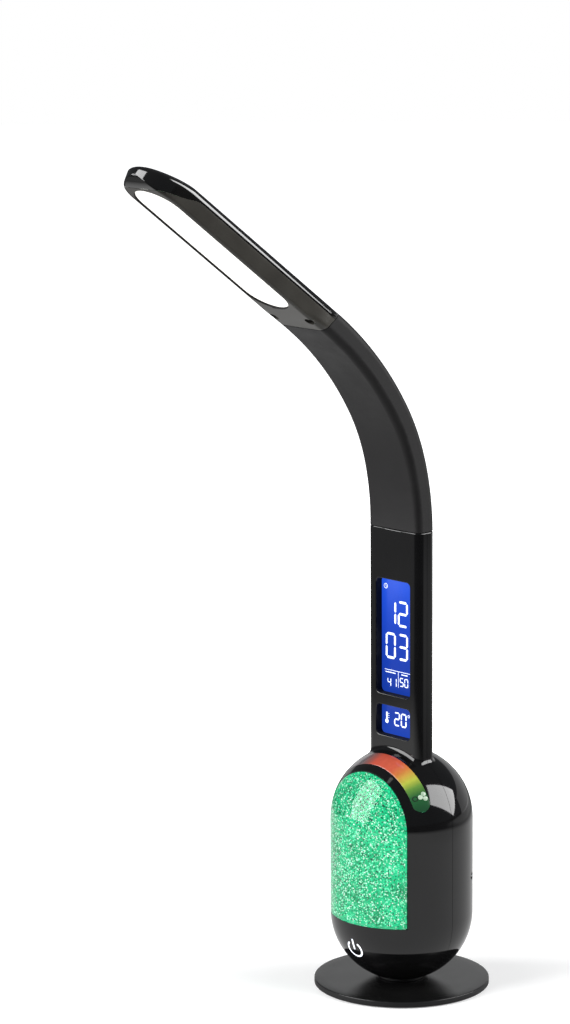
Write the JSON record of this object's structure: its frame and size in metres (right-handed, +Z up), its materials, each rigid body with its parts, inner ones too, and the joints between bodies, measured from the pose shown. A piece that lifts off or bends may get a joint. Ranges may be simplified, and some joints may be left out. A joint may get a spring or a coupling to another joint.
{
  "type": "led desk lamp",
  "caption": "Desk lamp with a glitter-filled globe, clock and thermometer display in the column, flexible arm and flat LED head.",
  "frame": {"origin": "centre of the base's underside, on the surface the lamp stands on", "axes": "+Z up along the column; -Y is the way the display, the glitter window and the head face; X is across the lamp"},
  "size_m": [0.115, 0.2827, 0.5552],
  "materials": {
    "gloss_black_plastic": "polished black ABS",
    "base_metal": "satin black powder coat on steel",
    "silicone": "matt dark grey silicone",
    "foot_rubber": "matt foam rubber",
    "clear_plastic": "clear moulded polystyrene",
    "glitter_liquid": "clear liquid with pale glitter flakes, lit green",
    "opal_diffuser": "opal white, lit from behind",
    "slider_plastic": "translucent strip, tinted from red through yellow to green",
    "steel": "plain zinc-plated steel",
    "ballast_iron": "raw casting",
    "circuit_board": "green solder resist",
    "component_black": "black moulded component",
    "lcd_blue": "blue negative display, white characters",
    "light_guide": "clear acrylic",
    "button_plastic": "black satin plastic",
    "drive_plastic": "white plastic with a moulded-in magnet"
  },
  "bodies": {
    "stand": {"front_housing": "gloss_black_plastic", "rear_housing": "gloss_black_plastic", "base_disc": "base_metal", "base_pad": "foot_rubber", "vessel_plug": "foot_rubber", "ballast_weight": "ballast_iron", "glitter_vessel": "clear_plastic", "glitter_liquid": "glitter_liquid", "stir_motor": "steel", "slider_strip": "slider_plastic", "slider_board": "circuit_board", "colour_led_board": "circuit_board", "main_board": "circuit_board", "display_board": "circuit_board", "power_touch_pad": "steel", "power_jack": "component_black", "main_lcd_panel": "lcd_blue", "small_lcd_panel": "lcd_blue", "main_backlight": "light_guide", "small_backlight": "light_guide", "alarm_buzzer": "component_black", "clock_battery": "steel", "temperature_sensor": "component_black", "arm_socket": "steel", "base_screw_1": "steel", "base_screw_2": "steel", "base_screw_3": "steel", "shell_screw_left": "steel", "shell_screw_right": "steel", "shell_screw_top": "steel", "switch_mode": "component_black", "switch_up": "component_black", "switch_down": "component_black", "sleeve_0": "silicone", "gooseneck_0": "steel"},
    "head": {"head_top_cover": "gloss_black_plastic", "head_lower_frame": "gloss_black_plastic", "head_led_board": "circuit_board", "head_clamp": "steel", "head_diffuser": "opal_diffuser", "head_screw_left": "steel", "head_screw_right": "steel", "sleeve_6": "silicone", "gooseneck_6": "steel"},
    "stirrer": {"stirrer": "drive_plastic"},
    "magnet_drive": {"magnet_drive": "drive_plastic"},
    "button_mode": {"button_mode": "button_plastic"},
    "button_up": {"button_up": "button_plastic"},
    "button_down": {"button_down": "button_plastic"},
    "arm_1": {"sleeve_1": "silicone", "gooseneck_1": "steel"},
    "arm_2": {"sleeve_2": "silicone", "gooseneck_2": "steel"},
    "arm_3": {"sleeve_3": "silicone", "gooseneck_3": "steel"},
    "arm_4": {"sleeve_4": "silicone", "gooseneck_4": "steel"},
    "arm_5": {"sleeve_5": "silicone", "gooseneck_5": "steel"}
  },
  "joints": [
    {"name": "arm_bend_1", "type": "hinge", "parent": "stand", "child": "arm_1", "pos_m": [0, -0.00115, 0.32506], "axis": [1, 0, 0], "range_deg": [-8.3, 8.3]},
    {"name": "arm_bend_2", "type": "hinge", "parent": "arm_1", "child": "arm_2", "pos_m": [0, -0.00608, 0.35056], "axis": [1, 0, 0], "range_deg": [-8.3, 8.3]},
    {"name": "arm_bend_3", "type": "hinge", "parent": "arm_2", "child": "arm_3", "pos_m": [0, -0.01532, 0.37482], "axis": [1, 0, 0], "range_deg": [-8.3, 8.3]},
    {"name": "arm_bend_4", "type": "hinge", "parent": "arm_3", "child": "arm_4", "pos_m": [0, -0.02874, 0.39706], "axis": [1, 0, 0], "range_deg": [-8.3, 8.3]},
    {"name": "arm_bend_5", "type": "hinge", "parent": "arm_4", "child": "arm_5", "pos_m": [0, -0.04496, 0.41735], "axis": [1, 0, 0], "range_deg": [-8.3, 8.3]},
    {"name": "arm_bend_6", "type": "hinge", "parent": "arm_5", "child": "head", "pos_m": [0, -0.06348, 0.43558], "axis": [1, 0, 0], "range_deg": [-8.3, 8.3]},
    {"name": "stirrer_spin", "type": "hinge", "parent": "stand", "child": "stirrer", "pos_m": [0, -0.02, 0.053], "axis": [0, 0, 1], "continuous": true},
    {"name": "magnet_drive_spin", "type": "hinge", "parent": "stand", "child": "magnet_drive", "pos_m": [0, -0.02, 0.0442], "axis": [0, 0, 1], "continuous": true},
    {"name": "button_mode_press", "type": "slide", "parent": "stand", "child": "button_mode", "axis": [0, -1, 0], "range_m": [0, 0.0006], "stiffness_N_per_m": 400, "springref_m": -0.0004},
    {"name": "button_up_press", "type": "slide", "parent": "stand", "child": "button_up", "axis": [0, -1, 0], "range_m": [0, 0.0006], "stiffness_N_per_m": 400, "springref_m": -0.0004},
    {"name": "button_down_press", "type": "slide", "parent": "stand", "child": "button_down", "axis": [0, -1, 0], "range_m": [0, 0.0006], "stiffness_N_per_m": 400, "springref_m": -0.0004}
  ],
  "couplings": [
    {"joint": "arm_bend_2", "follows": "arm_bend_1", "ratio": 1},
    {"joint": "arm_bend_3", "follows": "arm_bend_1", "ratio": 1},
    {"joint": "arm_bend_4", "follows": "arm_bend_1", "ratio": 1},
    {"joint": "arm_bend_5", "follows": "arm_bend_1", "ratio": 1},
    {"joint": "arm_bend_6", "follows": "arm_bend_1", "ratio": 1},
    {"joint": "stirrer_spin", "follows": "magnet_drive_spin", "ratio": 1}
  ]
}
